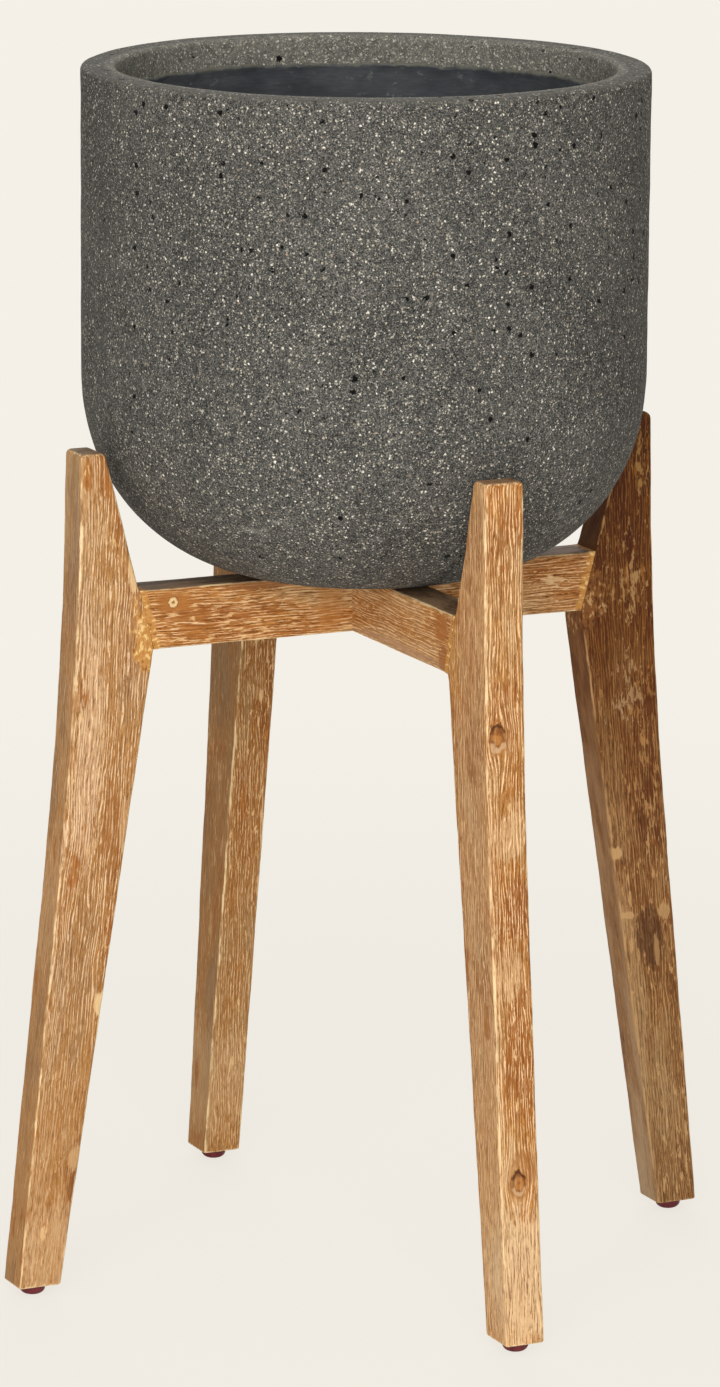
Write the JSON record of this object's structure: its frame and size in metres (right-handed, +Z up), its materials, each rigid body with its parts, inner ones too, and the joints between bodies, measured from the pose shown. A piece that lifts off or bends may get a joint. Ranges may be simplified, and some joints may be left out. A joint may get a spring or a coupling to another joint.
{
  "type": "standing planter",
  "caption": "Round stone-like pot with a drawn-in bottom, lifted out of a wooden stand of splayed legs and two rails crossed in a half-lap, on dome glides.",
  "frame": {"origin": "on the floor, under the middle of the pot", "axes": "+Z up; the two rails lie along X and Y, with a leg at the end of each; the front left leg is at -X, the front right leg at -Y, the back right leg at +X and the back left leg at +Y"},
  "size_m": [0.4758, 0.4758, 0.7565],
  "materials": {
    "pot_stone": "ground smooth, matt, fine pale and dark specks",
    "slate_coat": "smooth waterproof coat",
    "plug_rubber": "matt",
    "brushed_wood": "brushed hardwood, white-washed grain, lighter worn edges",
    "joint_wood": "plain hardwood, cut flush",
    "zinc_steel": "zinc-plated",
    "glide_plastic": "moulded, satin"
  },
  "bodies": {
    "stand": {"leg_front_left": "brushed_wood", "leg_front_right": "brushed_wood", "leg_back_right": "brushed_wood", "leg_back_left": "brushed_wood", "rail_left_right": "brushed_wood", "rail_front_back": "brushed_wood", "tenon_front_left": "joint_wood", "tenon_front_right": "joint_wood", "tenon_back_right": "joint_wood", "tenon_back_left": "joint_wood", "tenon_pins": "joint_wood", "lap_screw": "zinc_steel", "glide_front_left": "glide_plastic", "glide_front_right": "glide_plastic", "glide_back_right": "glide_plastic", "glide_back_left": "glide_plastic", "glide_nails": "zinc_steel"},
    "pot": {"pot_shell": "pot_stone", "inner_coat": "slate_coat"},
    "plug": {"drain_plug": "plug_rubber"}
  },
  "joints": [
    {"name": "pot_lift", "type": "slide", "parent": "stand", "child": "pot", "axis": [0, 0, 1], "range_m": [0, 0.2]},
    {"name": "plug_pull", "type": "slide", "parent": "pot", "child": "plug", "axis": [0, 0, 1], "range_m": [0, 0.32]}
  ]
}
